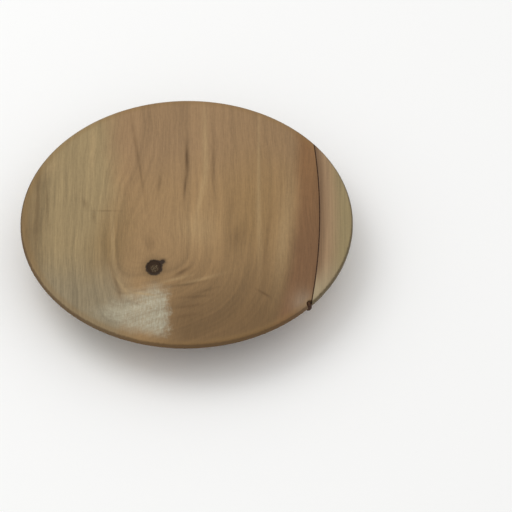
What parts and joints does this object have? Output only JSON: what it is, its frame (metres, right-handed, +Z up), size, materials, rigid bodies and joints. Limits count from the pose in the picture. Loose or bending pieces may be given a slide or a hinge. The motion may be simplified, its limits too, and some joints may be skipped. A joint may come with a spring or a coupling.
{
  "type": "rolling board",
  "caption": "Low round wooden board on turned feet, for rolling flatbread dough; a wide plank and a narrow one glued on a bowed joint.",
  "frame": {"origin": "on the floor under the feet, on the axis of the round board", "axes": "+Z up, square to the rolling face; +Y along the grain, towards the back foot; +X across the grain, towards the narrow side plank"},
  "size_m": [0.24, 0.24, 0.036],
  "materials": {
    "main_wood": "oiled and worn, warm tan with a brown band along the joint",
    "side_wood": "oiled and worn, grey-beige with fine straight grain",
    "glue": "matt, dark brown",
    "knot_wood": "dry, dark brown",
    "dowel_wood": "unfinished, pale",
    "foot_wood": "turned and oiled",
    "screw_steel": "plain zinc plate, dull"
  },
  "bodies": {
    "root": {"main_plank": "main_wood", "side_plank": "side_wood", "seam_glue": "glue", "knot": "knot_wood", "dowel_front": "dowel_wood", "dowel_back": "dowel_wood", "foot_back": "foot_wood", "foot_left": "foot_wood", "foot_right": "foot_wood", "screw_back": "screw_steel", "screw_left": "screw_steel", "screw_right": "screw_steel"}
  },
  "joints": []
}
